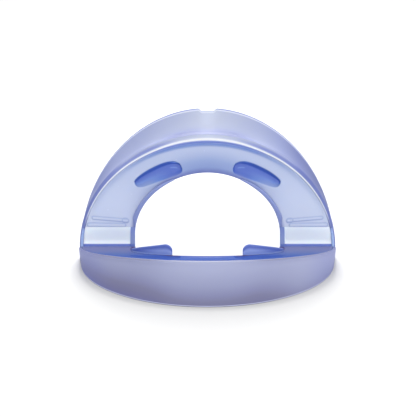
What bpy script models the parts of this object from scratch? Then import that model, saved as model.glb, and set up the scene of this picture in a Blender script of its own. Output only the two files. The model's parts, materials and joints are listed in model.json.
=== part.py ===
"""Foldable lip and cheek retractor: two mirrored arch halves joined by living hinges at the mouth corners.

Metres, +Z up. The object stands on the rim of its lower flange, with the origin at the middle of its base.
Each half is modelled flat in its own frame and then turned about the fold axis: x runs across, y runs out
from the fold axis along the face plate, and z stands out of the plate's face, towards the other half.
"""

import math

import bmesh
import bpy
from mathutils import Matrix, Vector

MM = 0.001

# Overall form
HALF_WIDTH = 40 * MM  # widest point of the flange's rim, from the middle
RIM_REACH = 44.5 * MM  # furthest point of the rim from the fold axis, in the plane of the rim
FOLD_HEIGHT = 4.1 * MM  # fold axis above the surface that the lower rim stands on
PLATE_TILT = math.radians(9.7)  # between each face plate and the plane of its own rim
FOLD_ANGLE = math.radians(90)  # between the two face plates at rest
GAP = 0.3 * MM  # between neighbouring sections

# Face plates
PLATE_THICKNESS = 2.2 * MM
PLATE_HALF_WIDTH = 38.2 * MM
PLATE_REACH = 32 * MM
OPENING_HALF_WIDTH = 22.8 * MM
OPENING_REACH = 23.1 * MM
OPENING_LEG = 4 * MM  # straight sides of the opening, before its arch begins
HINGE_HEIGHT = 6.2 * MM  # the upper plate starts here, above the hinge web
HEEL_LENGTH = 2.3 * MM  # lower plate's legs behind the fold axis, under the hinge webs
EDGE_ROUND = 0.45 * MM

# Flanges, from the bead beside the plate to the rim
BEAD_HALF_WIDTH = 39.6 * MM
BEAD_REACH = 35.2 * MM
BEAD_WIDTH = 2.9 * MM
BEAD_HEIGHT = 0.5 * MM  # above the plate's face, at the middle of the arch
SIDE_WALL = 1.1 * MM
RIM_WALL = 1.7 * MM
FLARE_POWER = 1.55  # above 1 the flange leaves the bead straight back and then flares out
GROOVE_RADIUS = 6 * MM
GROOVE_DEPTH = 0.8 * MM
GROOVE_LENGTH = 26 * MM

# Finger scoops and ledges, on both sides of the middle
SCOOP_X = 15.2 * MM
SCOOP_Y = 22.6 * MM
SCOOP_HALF_LENGTH = 7.8 * MM
SCOOP_HALF_WIDTH = 2.5 * MM
SCOOP_DEPTH = 1.3 * MM
SCOOP_RAISE = 0.1 * MM  # middle of the bowl above the plate's face
SCOOP_TURN = math.radians(-18)
SCOOP_TAPER = 0.25  # narrower towards the leg, blunter towards the middle
LEDGE_WALL = 1.4 * MM
LEDGE_HEIGHT = 3.3 * MM
LEDGE_LOW = 0.8 * MM  # top of the ledge where it begins, beside the leg
LEDGE_START = math.radians(10)  # ellipse angles on the opening's arch
LEDGE_END = math.radians(63)

# Hinge webs, and the ribs on the upper plate's legs above them
WEB_THICKNESS = 0.8 * MM
WEB_SILL = 1.5 * MM  # width of the full-depth strip beside the opening
RIB_X = 30.4 * MM
RIB_WIDTH = 1.1 * MM
RIB_HEIGHT = 0.5 * MM
RIB_ROOT = 0.6 * MM  # how far a rib reaches into the plate
LOW_RIB = {"y": 7.1 * MM, "length": 12.8 * MM, "slope": math.radians(-1)}
HIGH_RIB = {"y": 9 * MM, "length": 11 * MM, "slope": math.radians(-4.5)}

# Mesh density
ARCH_STEPS = 40
PROFILE_STEPS = 6
FAN_STEPS = 7
LEDGE_STEPS = 14
ROUND_STEPS = 5

# Worked out from the above
RIM_DROP = FOLD_HEIGHT * math.cos(PLATE_TILT)
RIM_SHIFT = FOLD_HEIGHT * math.sin(PLATE_TILT)
RIM_ANGLE = FOLD_ANGLE - 2 * PLATE_TILT  # between the planes of the two rims
UPPER_BACK = RIM_REACH * math.cos(RIM_ANGLE) + FOLD_HEIGHT * math.sin(RIM_ANGLE)
FOLD_AXIS = Vector((0, (RIM_REACH - UPPER_BACK) / 2, FOLD_HEIGHT))
UPPER_PLACE = (FOLD_ANGLE - PLATE_TILT, 0, 0)
LOWER_PLACE = (PLATE_TILT, 0, math.pi)
MIRROR_X = Matrix.Scale(-1, 4, (1, 0, 0))


def clear_scene():
    for old in list(bpy.data.objects):
        bpy.data.objects.remove(old, do_unlink=True)


def new_collection(name):
    collection = bpy.data.collections.new(name)
    bpy.context.scene.collection.children.link(collection)
    return collection


def new_material(name, colour, roughness, transmission):
    material = bpy.data.materials.new(name)
    material.use_nodes = True
    shader = material.node_tree.nodes["Principled BSDF"]
    shader.inputs["Base Color"].default_value = (*colour, 1)
    shader.inputs["Roughness"].default_value = roughness
    shader.inputs["Metallic"].default_value = 0
    shader.inputs["Transmission Weight"].default_value = transmission
    return material


def new_object(name, mesh, material, collection):
    mesh.materials.clear()
    mesh.materials.append(material)
    mesh.shade_smooth()
    mesh.set_sharp_from_angle(angle=math.radians(35))
    piece = bpy.data.objects.new(name, mesh)
    collection.objects.link(piece)
    return piece


def place(piece, rotation):
    """Turns a piece from its half's own frame to where the half lies, with its origin on the fold axis."""
    piece.location = FOLD_AXIS
    piece.rotation_euler = rotation


def weld(mesh):
    body = bmesh.new()
    body.from_mesh(mesh)
    bmesh.ops.remove_doubles(body, verts=body.verts, dist=0.01 * MM)
    bmesh.ops.recalc_face_normals(body, faces=body.faces)
    body.to_mesh(mesh)
    body.free()


def extruded(name, outline, low, high):
    """A mesh with a flat outline in x and y, from low to high along z."""
    curve = bpy.data.curves.new(name, "CURVE")
    curve.dimensions = "2D"
    curve.fill_mode = "BOTH"
    curve.extrude = (high - low) / 2
    spline = curve.splines.new("POLY")
    spline.points.add(len(outline) - 1)
    for point, (x, y) in zip(spline.points, outline):
        point.co = (x, y, 0, 1)
    spline.use_cyclic_u = True
    guide = bpy.data.objects.new(name + "_outline", curve)
    bpy.context.scene.collection.objects.link(guide)
    bpy.context.view_layer.update()
    shape = guide.evaluated_get(bpy.context.evaluated_depsgraph_get())
    mesh = bpy.data.meshes.new_from_object(shape)
    bpy.data.objects.remove(guide)
    mesh.transform(Matrix.Translation((0, 0, (high + low) / 2)))
    weld(mesh)
    return mesh


def loft(name, sections):
    """A closed mesh through rings of points that all have the same count, capped at both ends."""
    body = bmesh.new()
    rings = [[body.verts.new(p) for p in section] for section in sections]
    count = len(sections[0])
    for near, far in zip(rings, rings[1:]):
        for i in range(count):
            j = (i + 1) % count
            body.faces.new((near[i], near[j], far[j], far[i]))
    body.faces.new(list(reversed(rings[0])))
    body.faces.new(rings[-1])
    bmesh.ops.recalc_face_normals(body, faces=body.faces)
    mesh = bpy.data.meshes.new(name)
    body.to_mesh(mesh)
    body.free()
    return mesh


def round_edges(piece):
    bevel = piece.modifiers.new("rounded_edges", "BEVEL")
    bevel.width = EDGE_ROUND
    bevel.segments = 2
    bevel.limit_method = "ANGLE"
    bevel.angle_limit = math.radians(40)


def combine(piece, tool, operation):
    """Adds a Boolean of the tool, which shares the piece's frame, and keeps the tool as a hidden guide."""
    tool.hide_render = True
    tool.display_type = "WIRE"
    modifier = piece.modifiers.new(tool.name, "BOOLEAN")
    modifier.solver = "EXACT"
    modifier.operation = operation
    modifier.object = tool


def arch_x(half_width, reach, foot, y):
    """Half width, at height y, of an arch whose half ellipse rises from foot to reach."""
    share = max(y - foot, 0) / (reach - foot)
    return half_width * math.sqrt(1 - share * share)


def arch_points(half_width, reach, foot, start):
    """Points round an arch from its +x side at height start to its -x side."""
    low = math.asin(max(start - foot, 0) / (reach - foot))
    angles = [low + (math.pi - 2 * low) * i / ARCH_STEPS for i in range(ARCH_STEPS + 1)]
    return [(half_width * math.cos(a), foot + (reach - foot) * math.sin(a)) for a in angles]


def plate_outline(start):
    """A face plate's outline, with the ends of its legs at height start."""
    outer = arch_points(PLATE_HALF_WIDTH, PLATE_REACH, 0, start)
    opening = arch_points(OPENING_HALF_WIDTH, OPENING_REACH, OPENING_LEG, start)
    if start < 0:
        outer = [(PLATE_HALF_WIDTH, start), *outer, (-PLATE_HALF_WIDTH, start)]
    if start < OPENING_LEG:
        opening = [(OPENING_HALF_WIDTH, start), *opening, (-OPENING_HALF_WIDTH, start)]
    return outer + opening[::-1]


def pill_outline(length, width):
    """A straight bar with round ends."""
    half = (length - width) / 2
    turn = [math.pi * i / ROUND_STEPS - math.pi / 2 for i in range(ROUND_STEPS + 1)]
    right = [(half + width / 2 * math.cos(a), width / 2 * math.sin(a)) for a in turn]
    left = [(-x, -y) for x, y in right]
    return right + left


def scoop_mesh(name, side):
    """A teardrop bowl: an ellipsoid that narrows towards the leg, turned to follow the arch."""
    body = bmesh.new()
    bmesh.ops.create_uvsphere(body, u_segments=28, v_segments=14, radius=1)
    for vertex in body.verts:
        x, y, z = vertex.co
        width = SCOOP_HALF_WIDTH * (1 - SCOOP_TAPER * x)
        vertex.co = (SCOOP_HALF_LENGTH * x, width * y, (SCOOP_DEPTH + SCOOP_RAISE) * z + SCOOP_RAISE)
    mesh = bpy.data.meshes.new(name)
    body.to_mesh(mesh)
    body.free()
    mesh.transform(Matrix.Translation((SCOOP_X, SCOOP_Y, 0)) @ Matrix.Rotation(SCOOP_TURN, 4, "Z"))
    if side < 0:
        mesh.transform(MIRROR_X)
        mesh.flip_normals()
    return mesh


def cut_scoops(plate, rotation, material, tools):
    for side, word in ((-1, "a"), (1, "b")):
        name = f"{plate.name}_scoop_{word}"
        scoop = new_object(name, scoop_mesh(name, side), material, tools)
        place(scoop, rotation)
        combine(plate, scoop, "DIFFERENCE")


def add_ribs(plate, rotation, material, tools):
    """Two low bars on each leg of the upper plate, just above the hinge web."""
    for level, rib in (("low", LOW_RIB), ("high", HIGH_RIB)):
        for side, word in ((-1, "a"), (1, "b")):
            name = f"{plate.name}_{level}_rib_{word}"
            mesh = extruded(name, pill_outline(rib["length"], RIB_WIDTH), -RIB_ROOT, RIB_HEIGHT)
            turn = Matrix.Rotation(-side * rib["slope"], 4, "Z")
            mesh.transform(Matrix.Translation((side * RIB_X, rib["y"], 0)) @ turn)
            bar = new_object(name, mesh, material, tools)
            place(bar, rotation)
            combine(plate, bar, "UNION")


def make_plate(name, start, rotation, material, parts, tools):
    mesh = extruded(name, plate_outline(start), -PLATE_THICKNESS, 0)
    plate = new_object(name, mesh, material, parts)
    place(plate, rotation)
    round_edges(plate)
    cut_scoops(plate, rotation, material, tools)
    return plate


def flange_point(angle, progress, inset):
    """Point on a flange at an ellipse angle. Progress runs from bead to rim; inset is 0 outside, 1 inside."""
    rim_reach = RIM_REACH - inset * RIM_WALL
    bead = Vector((BEAD_HALF_WIDTH - inset * SIDE_WALL, BEAD_REACH - inset * BEAD_WIDTH, 0))
    rim = Vector((HALF_WIDTH - inset * SIDE_WALL, rim_reach * math.cos(PLATE_TILT), 0))
    point = bead.lerp(rim, progress**FLARE_POWER)
    drop = RIM_DROP + rim_reach * math.sin(PLATE_TILT) * math.sin(angle)
    return Vector((
        point.x * math.cos(angle),
        point.y * math.sin(angle) - progress * RIM_SHIFT,
        -progress * drop,
    ))


def flange_section(angle, first=0.0):
    """Ring round the flange's wall: down the outside to the rim, back up the inside, and over the bead."""
    progress = [first + (1 - first) * i / PROFILE_STEPS for i in range(PROFILE_STEPS + 1)]
    outside = [flange_point(angle, p, 0) for p in progress]
    inside = [flange_point(angle, p, 1) for p in reversed(progress)]
    crest = (outside[0] + inside[-1]) / 2
    crest += (outside[0] - outside[1]).normalized() * BEAD_HEIGHT * (0.2 + 0.8 * math.sin(angle))
    return [*outside, *inside, crest]


def bead_angle(height):
    """Ellipse angle at which the bead is at this height."""
    return math.asin(height / BEAD_REACH)


def make_flange(name, start, rotation, material, parts):
    low = bead_angle(start)
    angles = [low + (math.pi - 2 * low) * i / ARCH_STEPS for i in range(ARCH_STEPS + 1)]
    flange = new_object(name, loft(name, [flange_section(a) for a in angles]), material, parts)
    place(flange, rotation)
    return flange


def cut_groove(flange, rotation, material, tools):
    """A shallow groove up the middle of the flange for the lip's frenum, which notches the rim."""
    middle = math.pi / 2
    rim = flange_point(middle, 1, 0)
    along = (rim - flange_point(middle, 0.4, 0)).normalized()
    outward = Vector((0, -along.z, along.y))
    centre = rim + outward * (GROOVE_RADIUS - GROOVE_DEPTH)
    body = bmesh.new()
    bmesh.ops.create_cone(
        body,
        cap_ends=True,
        segments=40,
        radius1=GROOVE_RADIUS,
        radius2=GROOVE_RADIUS,
        depth=GROOVE_LENGTH,
        matrix=Matrix.Translation(centre) @ along.to_track_quat("Z", "Y").to_matrix().to_4x4(),
    )
    mesh = bpy.data.meshes.new("frenum_groove")
    body.to_mesh(mesh)
    body.free()
    groove = new_object("frenum_groove", mesh, material, tools)
    place(groove, rotation)
    combine(flange, groove, "DIFFERENCE")


def make_wing(name, side, material, parts):
    """Gusset round a mouth corner: a fan about the fold axis, then the foot of the upper flange."""
    first = 0.12  # the fan stays this share of its radius clear of the fold axis
    open_angle = RIM_ANGLE - GAP / FOLD_HEIGHT
    turns = [open_angle * (1 - i / FAN_STEPS) for i in range(FAN_STEPS)]
    fan = [[Matrix.Rotation(-t, 4, "X") @ p for p in flange_section(0, first)] for t in turns]
    last = bead_angle(HINGE_HEIGHT - GAP)
    foot = [flange_section(last * i / 3, first * (1 - i / 3)) for i in range(4)]
    mesh = loft(name, fan + foot)
    if side < 0:
        mesh.transform(MIRROR_X)
        mesh.flip_normals()
    wing = new_object(name, mesh, material, parts)
    place(wing, UPPER_PLACE)


def make_web(name, side, material, parts):
    """Living hinge at a mouth corner: a thin panel at the back of the plate, with a sill by the opening."""
    back = PLATE_THICKNESS
    panel = back - WEB_THICKNESS
    sill = OPENING_HALF_WIDTH + WEB_SILL
    outline = [
        (OPENING_HALF_WIDTH, 0),
        (sill, 0),
        (sill, panel),
        (PLATE_HALF_WIDTH - GAP, panel),
        (PLATE_HALF_WIDTH - GAP, back),
        (OPENING_HALF_WIDTH, back),
    ]
    mesh = extruded(name, outline, GAP, HINGE_HEIGHT - GAP)
    mesh.transform(Matrix.Rotation(math.radians(-90), 4, "X"))
    if side < 0:
        mesh.transform(MIRROR_X)
        mesh.flip_normals()
    web = new_object(name, mesh, material, parts)
    place(web, UPPER_PLACE)


def ledge_section(share):
    """Ring round a ledge at a share of its length from the leg: it rises, then ends in a round nose."""
    angle = LEDGE_START + (LEDGE_END - LEDGE_START) * share
    cosine, sine = math.cos(angle), math.sin(angle)
    arch = OPENING_REACH - OPENING_LEG
    edge = Vector((OPENING_HALF_WIDTH * cosine, OPENING_LEG + arch * sine, 0))
    outward = Vector((arch * cosine, OPENING_HALF_WIDTH * sine, 0)).normalized()
    nose = 0.88
    height = LEDGE_LOW + (LEDGE_HEIGHT - LEDGE_LOW) * min(share / nose, 1)
    if share > nose:
        beyond = (share - nose) / (1 - nose)
        height *= math.sqrt(1 - 0.75 * beyond * beyond)
    soft = 0.3 * LEDGE_WALL
    ring = [
        (0.1 * MM, GAP),
        (LEDGE_WALL, GAP),
        (LEDGE_WALL, height - soft),
        (LEDGE_WALL - soft, height),
        (0.1 * MM + soft, height),
        (0.1 * MM, height - soft),
    ]
    return [edge + outward * away + Vector((0, 0, z)) for away, z in ring]


def make_ledge(name, side, rotation, material, parts):
    """Fin along the opening's edge, beside the scoop, that a finger presses on."""
    mesh = loft(name, [ledge_section(i / LEDGE_STEPS) for i in range(LEDGE_STEPS + 1)])
    if side < 0:
        mesh.transform(MIRROR_X)
        mesh.flip_normals()
    ledge = new_object(name, mesh, material, parts)
    place(ledge, rotation)


def main():
    clear_scene()
    parts = new_collection("cheek_retractor")
    tools = new_collection("cutters")
    clear = new_material("clear_blue", (0.42, 0.53, 0.86), 0.12, 0.6)
    frosted = new_material("frosted_blue", (0.50, 0.55, 0.82), 0.5, 0.4)
    hinge = new_material("hinge_blue", (0.66, 0.77, 0.95), 0.2, 0.6)
    wing = new_material("wing_blue", (0.46, 0.60, 0.90), 0.35, 0.5)
    ledge = new_material("ledge_blue", (0.20, 0.30, 0.74), 0.15, 0.5)

    upper_plate = make_plate("upper_arch_plate", HINGE_HEIGHT, UPPER_PLACE, clear, parts, tools)
    add_ribs(upper_plate, UPPER_PLACE, clear, tools)
    make_plate("lower_arch_plate", -HEEL_LENGTH, LOWER_PLACE, clear, parts, tools)
    upper_flange = make_flange("upper_lip_flange", HINGE_HEIGHT, UPPER_PLACE, frosted, parts)
    cut_groove(upper_flange, UPPER_PLACE, frosted, tools)
    make_flange("lower_lip_flange", GAP, LOWER_PLACE, frosted, parts)

    for word, side in (("left", -1), ("right", 1)):
        make_web(f"{word}_hinge_web", side, hinge, parts)
        make_wing(f"{word}_cheek_wing", side, wing, parts)
        make_ledge(f"upper_{word}_finger_ledge", side, UPPER_PLACE, ledge, parts)
        make_ledge(f"lower_{word}_finger_ledge", -side, LOWER_PLACE, ledge, parts)


main()
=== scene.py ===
"""Looks of the foldable lip and cheek retractor: the polished plates and frosted flanges of one moulding.

Each half is shaped flat in its own frame, in metres: x runs across, y runs out from the fold axis along the
face plate, and z stands out of the plate's face. It is then turned about the fold axis to where the packed
half lies. Values painted on the meshes, from 0 to 1, say where the tinted resin looks deeper or paler; most
of them are painted shade, painted light and painted highlights for how light falls on the shapes.
"""
import json
import math

import bmesh
import bpy
import numpy as np
from mathutils import Matrix, Vector


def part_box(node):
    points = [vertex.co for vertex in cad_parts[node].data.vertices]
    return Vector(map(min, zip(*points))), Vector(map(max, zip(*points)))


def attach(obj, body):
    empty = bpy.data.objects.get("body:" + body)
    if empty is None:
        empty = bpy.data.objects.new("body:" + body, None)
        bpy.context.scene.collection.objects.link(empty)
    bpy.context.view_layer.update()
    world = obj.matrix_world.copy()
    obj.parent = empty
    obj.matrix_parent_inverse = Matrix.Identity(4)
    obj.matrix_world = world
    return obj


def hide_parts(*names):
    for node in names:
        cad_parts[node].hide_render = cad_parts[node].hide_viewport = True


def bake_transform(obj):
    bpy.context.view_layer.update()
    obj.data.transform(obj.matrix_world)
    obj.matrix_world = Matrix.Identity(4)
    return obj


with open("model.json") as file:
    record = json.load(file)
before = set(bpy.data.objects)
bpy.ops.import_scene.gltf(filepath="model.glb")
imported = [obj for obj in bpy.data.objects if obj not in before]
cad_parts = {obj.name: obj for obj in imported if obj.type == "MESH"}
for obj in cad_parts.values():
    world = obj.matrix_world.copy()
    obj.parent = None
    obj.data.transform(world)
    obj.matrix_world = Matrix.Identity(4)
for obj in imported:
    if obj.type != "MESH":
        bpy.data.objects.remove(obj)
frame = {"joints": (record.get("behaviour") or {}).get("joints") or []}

MM = 0.001
SCENE = bpy.context.scene
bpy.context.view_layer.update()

# ---------------------------------------------------------------- sizes, from the frame and from the design
FOLD_AXIS = Vector(frame["joints"][0]["pos_m"])
flange_low, flange_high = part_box("lower_lip_flange")
HALF_WIDTH = flange_high.x
RIM_REACH = FOLD_AXIS.y - flange_low.y
FOLD_HEIGHT = FOLD_AXIS.z
PLATE_TILT = math.radians(9.7)  # between each face plate and the plane of its own rim
RIM_ANGLE = math.radians(90) - 2 * PLATE_TILT  # swept by the cheek wings, between the flanges' ends
SEAM = 0.004 * MM

PLATE_THICKNESS = 2.2 * MM
PLATE_HALF_WIDTH = 38.8 * MM - SEAM
PLATE_REACH = 32.3 * MM - SEAM
OPENING_HALF_WIDTH = 22.6 * MM
OPENING_REACH = 23.1 * MM
OPENING_LEG = 4 * MM  # straight sides of the opening, before its arch begins
OPENING_POWER = 1.02  # above 1 the arch is slimmer than an ellipse
HINGE_HEIGHT = 6.2 * MM  # the upper plate starts here, above the hinge web
HEEL_LENGTH = 2.3 * MM  # lower plate's legs behind the fold axis, under the hinge webs

BEAD_HALF_WIDTH = 39.97 * MM
BEAD_REACH = 35.2 * MM
BEAD_WIDTH = 2.9 * MM
SIDE_WALL = 1.17 * MM
RIM_WALL = 1.7 * MM
FLARE_POWER = 1.55  # above 1 the flange leaves the bead straight back and then flares out
RIM_DROP = FOLD_HEIGHT * math.cos(PLATE_TILT)  # from the fold axis to the rim, out of the plate's back
RIM_SHIFT = FOLD_HEIGHT * math.sin(PLATE_TILT)  # and along the plate

TO_AXIS = Matrix.Translation(FOLD_AXIS)
UPPER = TO_AXIS @ Matrix.Rotation(math.radians(90) - PLATE_TILT, 4, "X")
LOWER = TO_AXIS @ Matrix.Rotation(math.pi, 4, "Z") @ Matrix.Rotation(PLATE_TILT, 4, "X")


def smooth(low, high, value):
    """0 below low, 1 above high, and a smooth step between."""
    share = np.clip((value - low) / (high - low), 0, 1)
    return share * share * (3 - 2 * share)


def bell(value, width):
    """1 where the value is 0, fading on both sides of it."""
    return np.exp(-((value / width) ** 2))


# ---------------------------------------------------------------- meshes
SHARP_ANGLE = math.radians(50)


def tube(name, rings, attributes):
    """A closed mesh through rings, an array of stations by ring points by 3, with each end capped.

    attributes holds the values painted on its points, by name.
    """
    stations, count = rings.shape[:2]
    ring = np.arange(stations - 1)[:, None] * count
    corner = np.arange(count)[None, :]
    following = (corner + 1) % count
    quads = [ring + corner, ring + following, ring + count + following, ring + count + corner]
    faces = np.stack(quads, -1).reshape(-1, 4).tolist()
    faces.append(list(range(count))[::-1])
    faces.append(list(range((stations - 1) * count, stations * count)))
    mesh = bpy.data.meshes.new(name)
    mesh.from_pydata(rings.reshape(-1, 3).tolist(), [], faces)
    for key, values in attributes.items():
        layer = mesh.attributes.new(key, "FLOAT", "POINT")
        layer.data.foreach_set("value", np.asarray(values, np.float32).reshape(-1))
    mesh.validate()
    fix_normals(mesh)
    mesh.shade_smooth()
    mesh.set_sharp_from_angle(angle=SHARP_ANGLE)
    return mesh


def fix_normals(mesh):
    body = bmesh.new()
    body.from_mesh(mesh)
    bmesh.ops.recalc_face_normals(body, faces=body.faces)
    if body.calc_volume(signed=True) < 0:
        bmesh.ops.reverse_faces(body, faces=body.faces)
    body.to_mesh(mesh)
    body.free()


def piece(name, mesh, matrix, material, node):
    """Places a mesh made in a half's frame and lets it stand for its CAD node."""
    mesh.transform(matrix)
    mesh.materials.append(material)
    shown = bpy.data.objects.new(name, mesh)
    SCENE.collection.objects.link(shown)
    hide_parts(node)
    return shown


def mirrored(rings):
    flipped = rings.copy()
    flipped[..., 0] *= -1
    return flipped


# ---------------------------------------------------------------- face plates
STATIONS = 260  # from a leg to the middle
ACROSS = 90
LEG_ROWS = 14
ROW_EASE = 0.45  # rows stand closer near the legs
EVEN_PART = 0.35  # of the columns' spacing; the rest crowds towards the plate's two edges
BACK_STEP = 4  # the plain back keeps every fourth column

ARCH_FROM = 2 * MM
ARCH_TO = 12 * MM
ARCH_SINK = 0.15 * MM
BEAD_LIFT = 0.25 * MM
BEAD_LIFT_WIDTH = 0.9 * MM
ROLL_DEPTH = 0.5 * MM
ROLL_WIDTH = 7 * MM
LIP_HEIGHT = 0.4 * MM
LIP_PLACE = 0.9 * MM
LIP_WIDTH = 1.6 * MM
EDGE_RADIUS = 0.45 * MM

SCOOP_X = 15.4 * MM
SCOOP_Y = 22.45 * MM
SCOOP_ALONG = np.array((-0.9495, 0.3143))  # direction along a scoop, rising towards the middle
SCOOP_HALF_LENGTH = 7.85 * MM
SCOOP_TOP = 3.1 * MM
SCOOP_BOTTOM = 2.45 * MM
SCOOP_TAPER = 0.04 / MM  # wider towards the middle
SCOOP_DEPTH = 1.5 * MM
SCOOP_WALL = 1.5 * MM
SCOOP_END_WALL = 0.5 * MM

RIB_HEIGHT = 0.09 * MM
RIB_ROUND_IN = 0.2 * MM
RIB_ROUND_OUT = 0.12 * MM
# width of the painted shade outline round each rib
RIB_OUTLINE = 0.2 * MM
RIBS = (
    {"x": 31.5 * MM, "y": 6.85 * MM, "half": 6 * MM, "width": 1.1 * MM, "slope": 0.016},
    {"x": 30.3 * MM, "y": 8.64 * MM, "half": 5.7 * MM, "width": 0.95 * MM, "slope": 0.083},
    {"x": 25.6 * MM, "y": 8.22 * MM, "half": 1 * MM, "width": 1.4 * MM, "slope": 0.083},
)


def opening_line(angle):
    """Points of the opening's edge on one side, by angle from the top of its straight leg to the middle."""
    across = OPENING_HALF_WIDTH * np.clip(np.cos(angle), 0, 1) ** OPENING_POWER
    arch = OPENING_REACH - OPENING_LEG
    return np.stack([across, OPENING_LEG + arch * np.sin(angle) ** OPENING_POWER], -1)


def half_lines(start):
    """Opening edge and outer edge of one side of a plate, row by row from its leg's end to the middle."""
    even = np.linspace(0, 1, STATIONS)
    share = even - ROW_EASE * np.sin(np.pi * even) / np.pi
    outer_start = math.asin(max(start, 0) / PLATE_REACH)
    angle = outer_start + (math.pi / 2 - outer_start) * share
    outer = np.stack([PLATE_HALF_WIDTH * np.cos(angle), PLATE_REACH * np.sin(angle)], -1)
    arch = OPENING_REACH - OPENING_LEG
    if start >= OPENING_LEG:
        inner_start = math.asin(((start - OPENING_LEG) / arch) ** (1 / OPENING_POWER))
        inner = opening_line(inner_start + (math.pi / 2 - inner_start) * share)
    else:
        straight = OPENING_LEG / (OPENING_LEG + math.pi / 2 * (OPENING_HALF_WIDTH + arch) / 2)
        angle = np.clip((share - straight) / (1 - straight), 0, 1) * math.pi / 2
        inner = opening_line(angle)
        inner[:, 1] -= OPENING_LEG * (1 - np.minimum(share / straight, 1))
    if start < 0:
        back = np.linspace(start, 0, LEG_ROWS, endpoint=False)
        heel_in = np.stack([np.full(LEG_ROWS, OPENING_HALF_WIDTH), back], -1)
        heel_out = np.stack([np.full(LEG_ROWS, PLATE_HALF_WIDTH), back], -1)
        inner, outer = np.vstack([heel_in, inner]), np.vstack([heel_out, outer])
    return inner, outer


def opening_half_width(y):
    """Half-width of the opening at a distance y from the fold axis."""
    share = np.clip((y - OPENING_LEG) / (OPENING_REACH - OPENING_LEG), 0, 1)
    return OPENING_HALF_WIDTH * (1 - share ** (2 / OPENING_POWER)) ** (OPENING_POWER / 2)


def plate_half_width(y):
    return PLATE_HALF_WIDTH * np.sqrt(1 - (y / PLATE_REACH) ** 2)


def near_middle(x):
    """1 along the middle of an arch, 0 on its legs: where the painted shade at the bead's foot is deepest.
    """
    return 1 - smooth(13 * MM, 28 * MM, np.abs(x))


def scoop_depth(x, y):
    """The finger scoop's depth, shallow beside the opening and deepest under its steep outer wall.

    With it come the place along the scoop, the distance from its outer edge and the share of its width.
    """
    dx, dy = np.abs(x) - SCOOP_X, y - SCOOP_Y
    along = dx * SCOOP_ALONG[0] + dy * SCOOP_ALONG[1]
    across = dx * SCOOP_ALONG[1] - dy * SCOOP_ALONG[0]
    share = np.clip(np.abs(along) / SCOOP_HALF_LENGTH, 0, 1)
    top = SCOOP_TOP * np.sqrt(1 - share**2.4) * (1 + SCOOP_TAPER * along)
    bottom = -SCOOP_BOTTOM * np.sqrt(1 - share**8)
    width = np.maximum(top - bottom, 0.01 * MM)
    level = np.clip((across - bottom) / width, 0, 1)
    edge = np.minimum(top - across, across - bottom)
    wall = smooth(0, SCOOP_WALL * np.sqrt(1 - 0.8 * share**2), top - across)
    ramp = 0.35 * smooth(0, 0.4, level) + 0.65 * level
    end = smooth(0, SCOOP_END_WALL, SCOOP_HALF_LENGTH - np.abs(along))
    inside = (edge > 0) & (share < 1)
    depth = np.where(inside, SCOOP_DEPTH * ramp * wall * end, 0)
    return depth, along, top - across, level


def rib_rise(x, y):
    """The grip ribs' height from 0 to 1, and their outline, along which painted shade is drawn."""
    total, outline = np.zeros_like(x), np.zeros_like(x)
    for rib in RIBS:
        along = np.abs(x) - rib["x"]
        across = y - rib["y"] - rib["slope"] * along
        reach = np.maximum(np.abs(along) - rib["half"] + rib["width"] / 2, 0)
        outside = np.hypot(reach, across) - rib["width"] / 2
        total = np.maximum(total, 1 - smooth(-RIB_ROUND_IN, RIB_ROUND_OUT, outside))
        outline = np.maximum(outline, bell(outside, RIB_OUTLINE))
    return total, outline


def with_back(face, back):
    """A ring's values on the face and then, in fewer steps, on the back."""
    return np.concatenate([face, back[:, ::-1][:, ::BACK_STEP]], 1)


def plate_rings(start, ribbed):
    """Rings round a plate's arch, with the paint on them."""
    inner, outer = half_lines(start)
    inner = np.vstack([inner, mirrored(inner[:-1])[::-1]])
    outer = np.vstack([outer, mirrored(outer[:-1])[::-1]])
    even = np.linspace(0, 1, ACROSS)
    share = EVEN_PART * even + (1 - EVEN_PART) * (1 - np.cos(np.pi * even)) / 2
    place = inner[:, None] + (outer - inner)[:, None] * share[None, :, None]
    x, y = place[..., 0], place[..., 1]
    span = np.linalg.norm(outer - inner, axis=1)[:, None]
    from_opening = share[None] * span
    from_bead = (1 - share[None]) * span
    arch = smooth(ARCH_FROM, ARCH_TO, y)
    middle = bell(x, 19 * MM) * smooth(8 * MM, 20 * MM, y)
    scoop = scoop_depth(x, y)
    rise, outline = rib_rise(x, y)
    z = arch * (BEAD_LIFT * bell(from_bead, BEAD_LIFT_WIDTH) - ARCH_SINK) - scoop[0]
    if ribbed:
        z -= ROLL_DEPTH * middle * np.clip(1 - from_opening / ROLL_WIDTH, 0, 1) ** 2
        z += RIB_HEIGHT * rise
        paint = ribbed_paint(x, y, from_opening, from_bead, middle, scoop, outline)
    else:
        z += LIP_HEIGHT * middle * bell(from_opening - LIP_PLACE, LIP_WIDTH)
        paint = base_paint(y, from_opening, scoop[0])
    gone = np.clip(EDGE_RADIUS - from_opening, 0, EDGE_RADIUS)
    round_edge = EDGE_RADIUS - np.sqrt(EDGE_RADIUS**2 - gone**2)
    face = np.dstack([x, y, z - round_edge])
    back = np.dstack([x, y, round_edge - PLATE_THICKNESS])
    return with_back(face, back), paint


def in_scoop(hollow):
    return smooth(0.005 * MM, 0.22 * MM, hollow)


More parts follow.
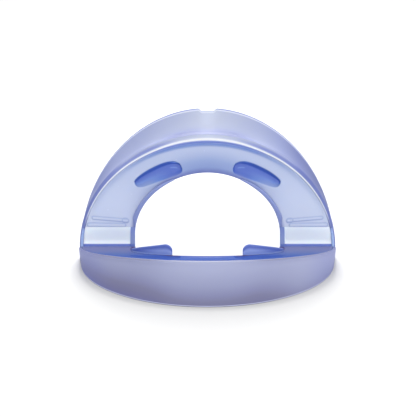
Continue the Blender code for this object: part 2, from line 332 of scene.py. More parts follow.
def ribbed_paint(x, y, from_opening, from_bead, middle, scoop, outline):
    """The upper plate's depth of colour, deeper by the bead and opening and in the scoops, and its rim:
    painted shade at the bead's foot, where the plate rolls off to the opening, round the ribs, in the
    scoops and along the opening's edge, with painted light and a painted highlight in the scoops.
    """
    hollow, along, from_top, level = scoop
    # painted shade at the bead's foot, just inside its highlight, deepest along the middle
    bead_foot = 0.5 * near_middle(x) * (1 - smooth(0.3 * MM, 1.3 * MM, from_bead))
    bead_sides = 0.14 * bell(from_bead, 1.5 * MM) * smooth(9 * MM, 16 * MM, y) * (1 - near_middle(x))
    arch_top = 0.16 * smooth(12 * MM, 26 * MM, y)
    # painted shade where the plate rolls off towards the opening, along the middle
    roll = 0.4 * middle * (1 - smooth(0, 8.5 * MM, from_opening))
    # the rib outlines add painted shade round each rib; bead_sides and arch_top make it deeper beside the
    # bead on the legs and towards the arch's top
    plain = 0.04 + bead_foot + bead_sides + arch_top + roll + 0.34 * outline
    # in a scoop the deep tone is painted shade in the recess; top_light and shallow paint it paler under
    # the steep top wall and towards the shallow end, as painted light, and fold is a painted highlight
    # where wall meets floor near the inner end
    top_light = 0.2 * (1 - smooth(0.2 * MM, 0.9 * MM, from_top))
    shallow = 0.42 * (1 - smooth(0.1, 0.75, level)) * (1 - smooth(-5 * MM, 5 * MM, along))
    near_end = smooth(3.8 * MM, 4.8 * MM, along) * (1 - smooth(6 * MM, 6.7 * MM, along))
    fold = 0.25 * bell(from_top - 2.3 * MM, 0.22 * MM) * near_end
    scooped = in_scoop(hollow)
    tone = plain * (1 - scooped) + scooped * (1 - top_light - shallow - fold)
    # the scoops' painted shade also shows on the plain back
    behind = plain + 0.2 * smooth(0, SCOOP_DEPTH, hollow)
    # painted shade along the opening's edge, drawn in the rim colour
    rim = 1 - smooth(0.3 * MM, 2 * MM, from_opening)
    return {"tone": with_back(tone, behind), "rim": with_back(rim, rim)}


def base_paint(y, from_opening, hollow):
    """The lower plate's depth of colour, deeper towards the front and in the scoops as painted shade, and
    its dark rim of painted shade along the opening.
    """
    # painted shade, deeper towards the front
    plain = 0.5 + 0.5 * smooth(2 * MM, 26 * MM, y)
    scooped = in_scoop(hollow)
    tone = plain * (1 - scooped) + scooped
    behind = plain + 0.2 * smooth(0, SCOOP_DEPTH, hollow)
    rim = 1 - smooth(0.9 * MM, 1.6 * MM, from_opening)
    return {"tone": with_back(tone, behind), "rim": with_back(rim, rim)}


def make_plate(name, start, ribbed, matrix, body, material):
    rings, attributes = plate_rings(start, ribbed)
    mesh = tube(name, rings, attributes)
    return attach(piece(name + "_moulding", mesh, matrix, material, name), body)


# ---------------------------------------------------------------- flanges
# A flange is a dome (the upper one), a band (the lower one) or a wing, which is the dome's foot fanned out.
FLANGE_STATIONS = 280
DOWN_STEPS = 56
ROUND_STEPS = 10
BEAD_STEPS = 26
BEAD_RISE = {"dome": 0.4 * MM, "wing": 0.4 * MM, "band": 0.2 * MM}
SHOULDER = {"dome": 0.085, "wing": 0.085, "band": 0.04}  # share of the wall that the bead's rounding takes
SHOULDER_ROUND = 0.38  # share of the bead's width
# The bead's highest line, as a share of its width, at the arch's middle and at the mouth corners
RIDGE = {"dome": 0.58, "wing": 0.58, "band": 0.3}
RIDGE_SIDE = 0.77
BAND_INSET = 0.65 * MM  # of the band's rim, on each side
BAND_START = 0.05 * MM  # from the fold axis
RIM_END = 0.998
NOTCH_FLAT = 1.7 * MM
NOTCH_END = 3 * MM
NOTCH_DEPTH = 0.075  # share of the wall
NOTCH_CROWDING = 0.12  # how far the stations crowd towards the notch
WING_START = 0.04
WING_STEPS = 26
WING_FOOT_STEPS = 16
WING_FOOT_START = 0.0001  # radians past the fan's last ring
WING_SHORT = 0.004  # radians between the fan and the lower flange's end


def flange_wall(angle, progress, inset, half_width):
    """Points on a flange's outer (inset 0) or inner (inset 1) surface; progress runs from bead to rim."""
    around = angle[:, None]
    rim_reach = RIM_REACH - inset * RIM_WALL
    flare = progress**FLARE_POWER
    bead_x, bead_y = BEAD_HALF_WIDTH - inset * SIDE_WALL, BEAD_REACH - inset * BEAD_WIDTH
    rim_x, rim_y = half_width - inset * SIDE_WALL, rim_reach * math.cos(PLATE_TILT)
    x = (bead_x + (rim_x - bead_x) * flare) * np.cos(around)
    y = (bead_y + (rim_y - bead_y) * flare) * np.sin(around) - progress * RIM_SHIFT
    z = -progress * (RIM_DROP + rim_reach * math.sin(PLATE_TILT) * np.sin(around))
    return np.dstack([x, y, z])


def flange_rings(angle, first, kind, side=1):
    """Rings round a flange: outside, round rim, inside, then the bead. first is where the wall begins."""
    steps = 0.5 - 0.5 * np.cos(np.linspace(0, math.pi, DOWN_STEPS))
    half_width = HALF_WIDTH - BAND_INSET if kind == "band" else HALF_WIDTH
    last = np.full((len(angle), 1), RIM_END)
    if kind == "dome":
        from_middle = np.abs(HALF_WIDTH * np.cos(angle))
        last[:, 0] -= NOTCH_DEPTH * (1 - smooth(NOTCH_FLAT, NOTCH_END, from_middle))
    shoulder = first + SHOULDER[kind]
    outside = flange_wall(angle, shoulder + (last - shoulder) * steps, 0, half_width)
    inside = flange_wall(angle, first + (last - first) * steps, 1, half_width)[:, ::-1]
    corner = flange_wall(angle, np.full_like(last, first), 0, half_width)
    tip = last + 1 - RIM_END
    rim = (flange_wall(angle, tip, 0, half_width) + flange_wall(angle, tip, 1, half_width))[:, 0] / 2
    turn = np.linspace(0, math.pi, ROUND_STEPS + 2)[1:-1][None, :, None]
    middle = (outside[:, -1] + inside[:, 0]) / 2
    radius = (outside[:, -1] - inside[:, 0]) / 2
    round_rim = middle[:, None] + radius[:, None] * np.cos(turn) + (rim - middle)[:, None] * np.sin(turn)
    rise = outside[:, 0] - outside[:, 1]
    rise /= np.linalg.norm(rise, axis=1, keepdims=True)
    across = np.linspace(1, 0, BEAD_STEPS + 2)[1:-1]
    share = across[None]
    ridge = (RIDGE_SIDE + (RIDGE[kind] - RIDGE_SIDE) * np.sin(angle) ** 8)[:, None]
    profile = np.where(
        share < ridge,
        0.5 - 0.5 * np.cos(np.pi * share / ridge),
        0.5 + 0.5 * np.cos(np.pi * (share - ridge) / (1 - ridge)),
    )
    height = BEAD_RISE[kind] * (0.5 + 0.5 * np.sin(angle))[:, None] * profile
    turned = 1 - np.clip(across / SHOULDER_ROUND, 0, 1)
    dropped = 1 - np.sqrt(1 - turned**2)
    start, end = outside[:, 0][:, None], inside[:, -1][:, None]
    bead = corner + (end - corner) * across[None, :, None] + rise[:, None] * height[..., None]
    bead += (start - corner) * dropped[None, :, None]
    rings = np.concatenate([outside, round_rim, inside, bead], 1)
    return rings, flange_paint(angle, steps, share, ridge, rings, kind, side)


def flange_paint(angle, steps, share, ridge, rings, kind, side):
    """A flange's paint: depth of colour and blue, which carry painted shade and light, the bead's polished
    zone with painted light on the dome and wings and painted shade on the band, its foot in painted shade,
    its top line as a painted highlight, and the rim's painted highlight line and painted shade outline.

    aside is 0 at the arch's middle and 1 at the mouth corners. right is -1 at the left mouth corner and 1
    at the right one, as seen from the front.
    """
    shape = rings.shape[:2]
    aside = np.abs(np.cos(angle))[:, None]
    right = np.cos(angle)[:, None] * (-1 if kind == "band" else side)
    to_rim = np.zeros(shape)
    to_rim[:, :DOWN_STEPS] = steps
    to_rim[:, DOWN_STEPS : DOWN_STEPS + ROUND_STEPS] = 1
    to_rim[:, DOWN_STEPS + ROUND_STEPS : 2 * DOWN_STEPS + ROUND_STEPS] = steps[::-1]
    names = ("polish_and_painted_shading", "foot", "crest", "edge", "shade")
    paint = {name: np.zeros(shape) for name in names}
    bead = np.s_[:, -BEAD_STEPS:]
    if kind == "band":
        paint["tone"], paint["blue"] = band_tone(aside, right, to_rim)
        front = band_bead(paint, bead, np.sin(angle)[:, None], aside, share, ridge)
    else:
        paint["tone"], paint["blue"] = dome_tone(aside, right, to_rim, rings[..., 0])
        front = dome_bead(paint, bead, np.sin(angle)[:, None], aside, share, ridge, rings, kind)
    # the bead's front is painted paler than the wall as painted light, deeper on the band's sides as
    # painted shade, and a little deeper towards its top line
    paint["tone"][bead] = paint["tone"][:, :1] - front + 0.05 * smooth(0, 0.8, share / ridge)
    paint["edge"][:, :DOWN_STEPS], outline = rim_lines(steps, aside, shape, kind)
    # on the band the outline is painted in the shade colour, as painted shadow where the rim meets the
    # floor
    if kind == "band":
        paint["shade"] = outline
    # the outline also deepens the tone, as painted shade round the rim
    paint["tone"] = np.clip(np.maximum(paint["tone"], 0.6 * outline), 0, 1)
    return paint


def dome_tone(aside, right, to_rim, x):
    """Depth of colour and blue, painted shade and light: deeper at the mouth corners and in the curve
    behind the bead, and blue painted shade by the bead at the corners.
    """
    middle = 1 - smooth(0.15, 0.45, aside)
    # painted shade towards the mouth corners, and just behind the bead near them
    corners = 0.7 * aside**1.2 + 0.22 * (1 - smooth(0, 0.07, to_rim)) * smooth(0.65, 0.85, aside)
    # painted shade deeper at the right end, and painted light paler on the left shoulder
    right_end, left_shoulder = 0.22 * smooth(0.45, 0.95, right), 0.09 * bell(right + 0.72, 0.16)
    # painted light: a paler streak down the middle, below the notch
    middle_streak_light = 0.08 * bell(x, 5 * MM) * smooth(0.2, 0.9, to_rim)
    # painted shade in the curve just behind the bead, along the middle
    curve = 0.66 * bell(to_rim - 0.04, 0.26) + 0.08 * (1 - smooth(0.03, 0.12, to_rim))
    # painted shade on the shoulder by the bead, part way to the corners
    shoulder = 0.16 * (1 - smooth(0.03, 0.14, to_rim)) * bell(aside - 0.45, 0.2)
    # blue painted shade just behind the bead at the corners
    blue = 0.45 * (1 - smooth(0.01, 0.05, to_rim)) * smooth(0.6, 0.75, aside)
    return 0.12 + corners + right_end - left_shoulder - middle_streak_light + curve * middle + shoulder, blue


def band_tone(aside, right, to_rim):
    """Depth of colour and blue: deeper towards the rim, partly for the thicker wall and partly as painted
    shade, painted shade towards the mouth corners, in the quarters and under the bead, and painted light on
    the right side.
    """
    # painted shade towards the mouth corners, more on the left
    corners = (0.2 - 0.15 * np.clip(right / 0.7, -1, 1)) * aside**1.6
    # painted shade in the quarters between the middle and the corners
    quarters = 0.12 * bell(aside - 0.5, 0.2)
    # painted light towards the rim on the right side
    paler_right = 0.3 * to_rim * smooth(0.3, 0.7, right)
    # painted shade just under the bead, away from the middle
    under_bead = 0.1 * (1 - smooth(0, 0.12, to_rim)) * smooth(0.12, 0.45, aside)
    # blue painted shade at the corners
    blue = 0.45 * smooth(0.65, 1, aside) + 0 * to_rim
    # deeper towards the rim, partly for the thicker wall there and partly as painted shade
    return 0.72 * to_rim**1.4 + corners + quarters - paler_right + under_bead, blue


def dome_bead(paint, bead, upright, aside, share, ridge, rings, kind):
    """Paints the bead of the dome or a wing: its polished zone paler as painted light, its foot in painted
    shade, its top line as a painted highlight and its sides in blue painted shade. Returns how much paler
    its front is than the wall, as painted light.
    """
    y = rings[bead][..., 1]
    if kind == "wing":
        # the polished zone is smoother, and its paint is also painted light on the bead's front
        polished = smooth(0.35, 0.5, share / ridge) * (1 - 0.5 * smooth(3.4 * MM, HINGE_HEIGHT, y))
    else:
        polished = smooth(0.72, 0.87, share / ridge) * smooth(6.5 * MM, 12 * MM, y)
    paint["polish_and_painted_shading"][bead] = polished
    paint["foot"][bead] = smooth(0.05, 0.3, (share - ridge) / (1 - ridge)) * near_middle(rings[:, -1:, 0])
    top = ridge * 0.93 + 0.07 * bell(aside - 0.45, 0.15)
    paint["crest"][bead] = bell(share - top, 0.06 + 0.08 * upright**6) * smooth(0.1, 0.55, upright)
    blue_front = 0.45 * smooth(0.2, 0.45, aside) * smooth(0.15, 0.35, share)
    paint["blue"][bead] = np.maximum(paint["blue"][:, :1], blue_front)
    middle = 1 - smooth(0.15, 0.45, aside)
    beside = smooth(0.15, 0.45, aside) * (1 - smooth(0.65, 0.8, aside))
    return 0.8 * middle * smooth(0, 0.1, share) + 0.2 * beside * (1 - smooth(0.1, 0.3, share))


def band_bead(paint, bead, upright, aside, share, ridge):
    """Paints the band's bead: its polished zone deeper as painted shade, its foot in painted shade and its
    top line as a painted highlight. Returns how much paler its front is than the wall; below 0 it is
    deeper, as painted shade.
    """
    paint["polish_and_painted_shading"][bead] = smooth(0.72, 0.87, share / ridge)
    paint["foot"][bead] = smooth(0.05, 0.3, (share - ridge) / (1 - ridge)) * smooth(0.1, 0.4, upright)
    paint["crest"][bead] = bell(share - ridge * 0.93, 0.06 + 0.08 * upright**6) * smooth(0.4, 0.85, upright)
    return -0.3 * smooth(0.12, 0.45, aside) * smooth(0.02, 0.18, share)


def rim_lines(steps, aside, shape, kind):
    """The pale line just inside the rim's edge, a painted highlight, and the dark outline past it and round
    the rim's end, painted shade; on the band it stands for the shadow where the rim meets the floor.
    """
    outline = np.zeros(shape)
    if kind == "band":
        from_rim = (1 - steps) / (1 + 0.6 * aside**2)
        edge = smooth(0.005, 0.011, from_rim) * (1 - smooth(0.02, 0.028, from_rim))
        outline[:, :DOWN_STEPS] = 1 - smooth(0.001, 0.006, from_rim)
    else:
        edge = smooth(0.92, 0.945, steps) * (1 - smooth(0.955, 0.975, steps))
        outline[:, :DOWN_STEPS] = smooth(0.96, 0.975, steps) * (0.25 + 0.75 * smooth(0.04, 0.1, aside))
    outline[:, DOWN_STEPS : DOWN_STEPS + ROUND_STEPS] = 1
    return edge, outline


def make_flange(name, start, kind, matrix, body, material):
    low = math.asin(start / BEAD_REACH)
    across = np.linspace(-1, 1, FLANGE_STATIONS + 1)
    if kind == "dome":
        across = across - NOTCH_CROWDING * np.sin(np.pi * across)
    angle = math.pi / 2 - across * (math.pi / 2 - low)
    rings, attributes = flange_rings(angle, 0.0, kind)
    mesh = tube(name, rings, attributes)
    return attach(piece(name + "_moulding", mesh, matrix, material, name), body)


def make_wing(name, side, material):
    """Gusset round a mouth corner: a fan about the fold axis, then the foot of the upper flange."""
    root, attributes = flange_rings(np.array([0.0]), WING_START, "wing", side)
    fan = []
    for step in range(WING_STEPS):
        turn = max(RIM_ANGLE * (1 - step / WING_STEPS) - WING_SHORT, 0)
        turned = np.array(Matrix.Rotation(-turn, 3, "X"))
        fan.append(root[0] @ turned.T)
    last = math.asin((HINGE_HEIGHT - SEAM) / BEAD_REACH)
    foot_angles = np.linspace(WING_FOOT_START, last, WING_FOOT_STEPS)
    foot, foot_attributes = flange_rings(foot_angles, WING_START, "wing", side)
    rings = np.concatenate([np.array(fan), foot])
    joined = {
        key: np.vstack([np.repeat(attributes[key], WING_STEPS, 0), foot_attributes[key]])
        for key in attributes
    }
    if side < 0:
        rings = mirrored(rings)
    mesh = tube(name, rings, joined)
    return bend(piece(name + "_moulding", mesh, UPPER, material, name))


# ---------------------------------------------------------------- hinge webs
WEB_ROWS = 60
WEB_COLUMNS = 90
WEB_RECESS = 0.6 * MM
WEB_SILL = 1.5 * MM  # raised strip along the opening
WEB_EDGE_RADIUS = 0.4 * MM
WEB_BACK_STEP = 3


def make_web(name, side, material):
    y = np.linspace(0, HINGE_HEIGHT, WEB_ROWS)
    even = np.linspace(0, 1, WEB_COLUMNS)
    inner, outer = opening_half_width(y)[:, None], plate_half_width(y)[:, None] - SEAM
    x = inner + (outer - inner) * (0.6 * even + 0.4 * even * even)[None]
    y = np.repeat(y[:, None], WEB_COLUMNS, 1)
    share = y / HINGE_HEIGHT
    front = WEB_RECESS * (smooth(0.3, 1, share) + 0.5 * (1 - smooth(0, 0.35, share)) - 1)
    from_opening = x - inner
    sill = 1 - smooth(WEB_SILL - 0.15 * MM, WEB_SILL + 0.2 * MM, from_opening)
    gone = np.clip(WEB_EDGE_RADIUS - from_opening, 0, WEB_EDGE_RADIUS)
    round_edge = WEB_EDGE_RADIUS - np.sqrt(WEB_EDGE_RADIUS**2 - gone**2)
    face = np.dstack([x, y, front * (1 - sill) - sill * round_edge])
    back = np.dstack([x, y, round_edge - PLATE_THICKNESS])
    rings = np.concatenate([face, back[:, ::-1][:, ::WEB_BACK_STEP]], 1)
    # painted shade: a dark line along the bottom, where the web meets the lower plate, deeper along the
    # sill by the opening, and a little deeper towards the top
    crease_shade = 1 - smooth(0.11, 0.17, share) - 0.2 * (1 - smooth(0, 0.06, share))
    crease_shade = crease_shade * smooth(0, 0.04, even)[None] * (1 - 0.8 * sill)
    tone = 0.1 * smooth(0.2, 1, share) + 0.7 * sill + crease_shade
    behind = np.maximum(tone, 0.42)
    attributes = {"tone": np.concatenate([tone, behind[:, ::-1][:, ::WEB_BACK_STEP]], 1)}
    if side < 0:
        rings = mirrored(rings)
    mesh = tube(name, rings, attributes)
    return bend(piece(name + "_moulding", mesh, UPPER, material, name))


def bend(shown):
    """Bakes the placement of a piece that crosses the fold, from the lower half, in front and below, to the
    upper half, into its mesh.
    """
    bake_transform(shown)
    return shown


# ---------------------------------------------------------------- finger ledges
LEDGE_STATIONS = 110
LEDGE_WALL = 1.55 * MM
LEDGE_HEIGHT = 3.3 * MM
LEDGE_LOW = 0.25 * MM  # where it begins, beside the leg
LEDGE_START = math.radians(7.4)  # angles on the opening's arch
LEDGE_END = math.radians(62.3)
LEDGE_SUNK = 0.1 * MM  # into the plate
LEDGE_LEVELS = 8
LEDGE_TURNS = 14


def ledge_ring(wall, height):
    """A ledge's outline in section, as distances outside the opening's edge and heights above the plate."""
    crown = min(wall / 2, height * 0.6)
    levels = np.linspace(0, height - crown, LEDGE_LEVELS + 1)[:-1]
    turns = np.linspace(0, math.pi, LEDGE_TURNS)
    outer = [(wall, -LEDGE_SUNK)] + [(wall, level) for level in levels]
    top = [(wall / 2 * (1 + math.cos(a)), height - crown + crown * math.sin(a)) for a in turns]
    inner = [(0, level) for level in levels[::-1]] + [(0, -LEDGE_SUNK)]
    return outer + top + inner


def make_ledge(name, side, matrix, body, material, slot, nose, blunt):
    """A fin along the opening's edge, highest at nose, a share of its length, and rounded off beyond."""
    even = np.linspace(0, 1, LEDGE_STATIONS)
    share = 1 - (1 - even) ** 1.3
    angle = LEDGE_START + (LEDGE_END - LEDGE_START) * share
    arch = OPENING_REACH - OPENING_LEG
    edge = np.column_stack([opening_line(angle), 0 * angle])
    outward = np.stack([arch * np.cos(angle), OPENING_HALF_WIDTH * np.sin(angle), 0 * angle], -1)
    outward /= np.linalg.norm(outward, axis=1, keepdims=True)
    beyond = np.clip((share - nose) / (1 - nose), 0, 1)
    rounded = 1 - np.sqrt(1 - beyond**2)
    climb = (LEDGE_HEIGHT - LEDGE_LOW) * np.minimum(share / nose, 1)
    height = (LEDGE_LOW * smooth(-0.02, 0.14, share) + climb) * (1 - blunt * rounded)
    slim = (1 - 0.55 * share**2) * (1 - 0.3 * rounded) * (0.3 + 0.7 * smooth(0, 0.15, share))
    rings = np.array([
        [place + away * distance + np.array((0, 0, level)) for distance, level in ledge_ring(wall, top)]
        for place, away, wall, top in zip(edge, outward, LEDGE_WALL * slim, height)
    ])
    if side < 0:
        rings = mirrored(rings)
    up = rings[..., 2] / height[:, None]
    along = share[:, None]
    # painted highlight along the ledge's side, painted light at its foot and along its top, and a little
    # deeper past its start
    highlight = 0.3 * bell(up - 0.42, 0.22) * smooth(0.3, 0.9, along)
    tone = 0.48 + 0.12 * smooth(0, 0.25, along) + highlight
    tone = tone + 0.26 * (1 - smooth(0, 0.35, up)) + 0.1 * smooth(0.75, 1, up)
    mesh = tube(name, rings, {"tone": tone})
    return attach(piece(name + "_moulding", mesh, matrix, material, name), body)


# ---------------------------------------------------------------- materials
def colour(red, green, blue):
    """A linear colour from sRGB values of 0 to 255."""
    parts = [value / 255 for value in (red, green, blue)]
    return tuple(((v + 0.055) / 1.055) ** 2.4 if v > 0.04045 else v / 12.92 for v in parts) + (1,)


class Graph:
    """Short calls for a material's nodes."""

    def __init__(self, name):
        self.material = bpy.data.materials.new(name)
        self.material.use_nodes = True
        self.nodes = self.material.node_tree.nodes
        self.links = self.material.node_tree.links
        self.shader = self.nodes["Principled BSDF"]
        self.place = self.nodes.new("ShaderNodeTexCoord").outputs["Object"]

    def feed(self, socket, value):
        """Sets a socket to a constant, or links it to another node's output."""
        if isinstance(value, bpy.types.NodeSocket):
            self.links.new(value, socket)
        else:
            socket.default_value = value

    def attribute(self, name):
        node = self.nodes.new("ShaderNodeAttribute")
        node.attribute_name = name
        return node.outputs["Fac"]

    def noise(self, scale, detail=2):
        node = self.nodes.new("ShaderNodeTexNoise")
        node.inputs["Scale"].default_value = scale
        node.inputs["Detail"].default_value = detail
        self.links.new(self.place, node.inputs["Vector"])
        return node.outputs["Fac"]

    def span(self, source, low, high):
        node = self.nodes.new("ShaderNodeMapRange")
        node.inputs["To Min"].default_value = low
        node.inputs["To Max"].default_value = high
        self.links.new(source, node.inputs["Value"])
        return node.outputs["Result"]

    def ramp(self, source, stops):
        node = self.nodes.new("ShaderNodeValToRGB")
        elements = node.color_ramp.elements
        while len(elements) < len(stops):
            elements.new(0.5)
        for element, (position, value) in zip(elements, stops):
            element.position = position
            element.color = value
        self.links.new(source, node.inputs["Fac"])
        return node.outputs["Color"]

    def math(self, operation, first, second):
        node = self.nodes.new("ShaderNodeMath")
        node.operation = operation
        self.feed(node.inputs[0], first)
        self.feed(node.inputs[1], second)
        return node.outputs["Value"]

    def mix(self, factor, first, second):
        node = self.nodes.new("ShaderNodeMix")
        node.data_type = "RGBA"
        for index, value in ((0, factor), (6, first), (7, second)):
            self.feed(node.inputs[index], value)
        return node.outputs[2]

    def bump(self, height, strength, distance):
        node = self.nodes.new("ShaderNodeBump")
        node.inputs["Strength"].default_value = strength
        node.inputs["Distance"].default_value = distance
        self.links.new(height, node.inputs["Height"])
        self.links.new(node.outputs["Normal"], self.shader.inputs["Normal"])

    def set(self, **values):
        for key, value in values.items():
            self.feed(self.shader.inputs[key.replace("_", " ")], value)


SUBSURFACE_WEIGHT = 0.3
SUBSURFACE_SCALE = 0.6 * MM


def polished_resin(name, stops, rim, specular=0.35, transmission=0.12):
    """Polished tinted resin, whose colour deepens with the tone painted on its mesh, which carries painted
    shade and light; the rim colour is painted shade along the opening's edge.
    """
    graph = Graph(name)
    cloud = graph.noise(scale=70)
    tone = graph.math("ADD", graph.attribute("tone"), graph.span(cloud, -0.02, 0.02))
    body = graph.mix(graph.attribute("rim"), graph.ramp(tone, stops), rim)
    speckle = graph.noise(scale=1500, detail=3)
    graph.bump(speckle, strength=0.15, distance=0.01 * MM)
    graph.set(
        Base_Color=body,
        Roughness=graph.span(speckle, 0.2, 0.3),
        Specular_IOR_Level=specular,
        Transmission_Weight=transmission,
        Subsurface_Weight=SUBSURFACE_WEIGHT,
        Subsurface_Radius=(0.5, 0.7, 1.0),
        Subsurface_Scale=SUBSURFACE_SCALE,
    )
    return graph.material


def frosted_resin(name, stops, **paints):
    """Frosted resin: the tone on its mesh deepens its colour, and the other paints go over that in turn;
    they carry painted shade, painted light and painted highlights.

    It is smoother where the polished zone is painted, along the bead.
    """
    graph = Graph(name)
    cloud = graph.noise(scale=45)
    tone = graph.math("ADD", graph.attribute("tone"), graph.span(cloud, -0.04, 0.04))
    body = graph.ramp(tone, stops)
    for attribute, value in paints.items():
        body = graph.mix(graph.attribute(attribute), body, value)
    grain = graph.noise(scale=4200)
    graph.bump(grain, strength=0.3, distance=0.02 * MM)
    polish_and_painted_shading = graph.math("MULTIPLY", graph.attribute("polish_and_painted_shading"), 0.32)
    graph.set(
        Base_Color=body,
        Roughness=graph.math("SUBTRACT", graph.span(grain, 0.5, 0.6), polish_and_painted_shading),
        Specular_IOR_Level=0.22,
        Transmission_Weight=0.1,
        Subsurface_Weight=SUBSURFACE_WEIGHT,
        Subsurface_Radius=(0.6, 0.7, 1.0),
        Subsurface_Scale=SUBSURFACE_SCALE,
    )
    return graph.material


# Stops from 0, where the resin looks palest, to 1, where it looks deepest; the tones carry painted light
# and painted shade as well as the resin's own colour
PLATE_TONES = [
    (0, colour(208, 218, 242)),
    (0.2, colour(189, 201, 231)),
    (0.42, colour(156, 174, 219)),
    (0.56, colour(144, 164, 214)),
    (0.78, colour(102, 136, 212)),
    (1, colour(75, 106, 199)),
]
# the lower plate's tones: a deeper, shaded copy of the plate's resin, as painted shade
BASE_TONES = [(0.5, colour(131, 136, 190)), (0.75, colour(106, 125, 193)), (1, colour(77, 107, 198))]
# the web's near-white tones are pale as the web is thin, and brighter still as painted light
WEB_TONES = [
    (0, colour(237, 246, 255)),
    (0.3, colour(218, 230, 250)),
    (0.7, colour(138, 154, 203)),
    (1, colour(80, 106, 196)),
]
# the lower ledges' tones are deeper than the upper ones, as painted shade, and their 0.9 stop is a painted
# highlight colour
UPPER_LEDGE_TONES = [(0.3, colour(146, 160, 210)), (0.9, colour(144, 157, 212))]
LOWER_LEDGE_TONES = [(0.3, colour(98, 112, 180)), (0.6, colour(86, 108, 196)), (0.9, colour(158, 178, 234))]
DOME_TONES = [
    (0, colour(212, 220, 241)),
    (0.12, colour(193, 201, 226)),
    (0.3, colour(178, 187, 220)),
    (0.52, colour(158, 168, 213)),
    (0.7, colour(132, 142, 196)),
    (1, colour(106, 115, 170)),
]
BAND_TONES = [
    (0, colour(174, 180, 212)),
    (0.3, colour(157, 162, 197)),
    (0.5, colour(140, 143, 181)),
    (0.62, colour(130, 131, 165)),
    (0.8, colour(121, 121, 161)),
    (1, colour(116, 119, 174)),
]
# painted shade along the opening's edge of the plates
RIM_SHADE_COLOUR = colour(118, 132, 194)
BASE_RIM_SHADE_COLOUR = colour(90, 84, 140)
# painted over the flanges' tones: blue, shade and foot are painted shade, edge and the bead's top line are
# painted highlights, and the polished zone's colour is painted light on the dome and wings, painted shade
# on the band
DOME_PAINTS = {
    "blue": colour(124, 138, 208),
    "edge": colour(230, 234, 250),
    "shade": colour(92, 98, 124),
    "polish_and_painted_shading": colour(196, 206, 232),
    "foot": colour(126, 147, 218),
    "crest": colour(250, 252, 255),
}
BAND_PAINTS = {
    "blue": colour(124, 134, 204),
    "edge": colour(200, 204, 236),
    "shade": colour(92, 98, 124),
    "polish_and_painted_shading": colour(122, 128, 180),
    "foot": colour(86, 110, 190),
    "crest": colour(190, 194, 222),
}
WING_PAINTS = {
    "blue": colour(124, 138, 208),
    "edge": colour(190, 195, 225),
    "shade": colour(92, 98, 124),
    "polish_and_painted_shading": colour(165, 190, 237),
    "foot": colour(122, 142, 216),
    "crest": colour(175, 206, 247),
}


# ---------------------------------------------------------------- stage, light and camera
VIEW_TILT = math.radians(14.96)
VIEW_DISTANCE = 375 * MM
VIEW_SHIFT = 12.1 * MM  # of the line of sight, above the fold axis
VIEW_SIDE = 0.15 * MM
VIEW_WIDTH = 130 * MM  # taken in at the fold axis's distance
SENSOR_WIDTH = 36
FLOOR_SIZE = 6
FLOOR_DROP = 0.05 * MM
FLOOR_ALBEDO = 0.715
FLOOR_ROUGHNESS = 0.7
WORLD_STRENGTH = 0.75
LIGHT_TARGET = Vector((0, 0, 0.02))


def make_stage():
    bpy.ops.mesh.primitive_plane_add(size=FLOOR_SIZE, location=(0, 0, -FLOOR_DROP))
    floor = bpy.context.object
    floor.name = "floor"
    material = bpy.data.materials.new("floor")
    material.use_nodes = True
    shader = material.node_tree.nodes["Principled BSDF"]
    shader.inputs["Base Color"].default_value = (FLOOR_ALBEDO, FLOOR_ALBEDO, FLOOR_ALBEDO, 1)
    shader.inputs["Roughness"].default_value = FLOOR_ROUGHNESS
    floor.data.materials.append(material)


def make_light(name, place, size, power):
    light = bpy.data.lights.new(name, "AREA")
    light.size = size
    light.energy = power
    shown = bpy.data.objects.new(name, light)
    SCENE.collection.objects.link(shown)
    shown.location = place
    shown.rotation_euler = (LIGHT_TARGET - Vector(place)).to_track_quat("-Z", "Y").to_euler()


def make_world():
    world = bpy.data.worlds.new("studio")
    world.use_nodes = True
    background = world.node_tree.nodes["Background"]
    background.inputs["Color"].default_value = (1, 1, 1, 1)
    background.inputs["Strength"].default_value = WORLD_STRENGTH
    SCENE.world = world


def make_camera():
    camera = bpy.data.cameras.new("camera")
    camera.sensor_width = SENSOR_WIDTH
    camera.lens = SENSOR_WIDTH * VIEW_DISTANCE / VIEW_WIDTH
    camera.clip_start = 0.01
    camera.clip_end = 20
    shown = bpy.data.objects.new("camera", camera)
    SCENE.collection.objects.link(shown)
    forward = Vector((0, math.cos(VIEW_TILT), -math.sin(VIEW_TILT)))
    up = Vector((0, math.sin(VIEW_TILT), math.cos(VIEW_TILT)))
    shown.location = FOLD_AXIS - forward * VIEW_DISTANCE + up * VIEW_SHIFT + Vector((VIEW_SIDE, 0, 0))
    shown.rotation_euler = (math.pi / 2 - VIEW_TILT, 0, 0)
    SCENE.camera = shown


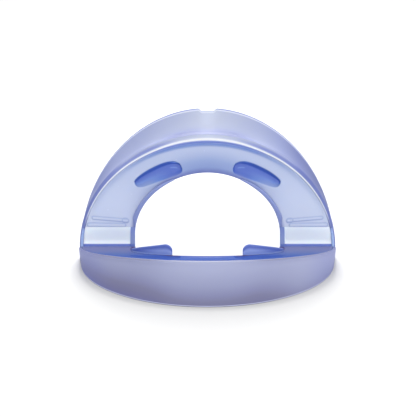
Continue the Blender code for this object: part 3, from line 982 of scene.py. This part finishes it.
# ---------------------------------------------------------------- the object
make_camera()
make_world()
make_stage()
make_light("back", (0, 0.75, 0.5), size=0.3, power=8)
make_light("front", (0, -1.05, 0.7), size=1.0, power=5.5)
make_light("side", (0.9, -0.6, 0.12), size=0.5, power=1.8)
SCENE.view_settings.view_transform = "Standard"

clear = polished_resin("clear_blue_resin", PLATE_TONES, RIM_SHADE_COLOUR)
# the lower plate's resin: a deeper, shaded copy, as painted shade
clear_low = polished_resin("clear_blue_base_resin", BASE_TONES, BASE_RIM_SHADE_COLOUR, specular=0)
frosted = frosted_resin("frosted_dome_resin", DOME_TONES, **DOME_PAINTS)
# the band's resin: tones deeper than the dome's, as painted shade
frosted_low = frosted_resin("frosted_base_resin", BAND_TONES, **BAND_PAINTS)
# the webs' resin: near white, pale as the webs are thin and brighter still as painted light
hinge = polished_resin("hinge_resin", WEB_TONES, RIM_SHADE_COLOUR, specular=0.5, transmission=0)
wing = frosted_resin("wing_resin", DOME_TONES, **WING_PAINTS)
ledge = polished_resin("ledge_resin", UPPER_LEDGE_TONES, RIM_SHADE_COLOUR, specular=0.2)
# the lower ledges' resin: a deeper copy with a painted highlight
ledge_low = polished_resin("ledge_base_resin", LOWER_LEDGE_TONES, RIM_SHADE_COLOUR, specular=0.2)
upper_end = {"nose": 0.75, "blunt": 0.85}
lower_end = {"nose": 0.9, "blunt": 0.5}

make_plate("upper_arch_plate", HINGE_HEIGHT, True, UPPER, "upper_half", clear)
make_plate("lower_arch_plate", -HEEL_LENGTH, False, LOWER, "lower_half", clear_low)
make_flange("upper_lip_flange", HINGE_HEIGHT + SEAM, "dome", UPPER, "upper_half", frosted)
make_flange("lower_lip_flange", BAND_START, "band", LOWER, "lower_half", frosted_low)
for word, side in (("left", -1), ("right", 1)):
    make_web(f"{word}_hinge_web", side, hinge)
    make_wing(f"{word}_cheek_wing", side, wing)
    upper_name, lower_name = f"upper_{word}_finger_ledge", f"lower_{word}_finger_ledge"
    make_ledge(upper_name, side, UPPER, "upper_half", ledge, "ledge_blue", **upper_end)
    make_ledge(lower_name, -side, LOWER, "lower_half", ledge_low, "ledge_blue", **lower_end)
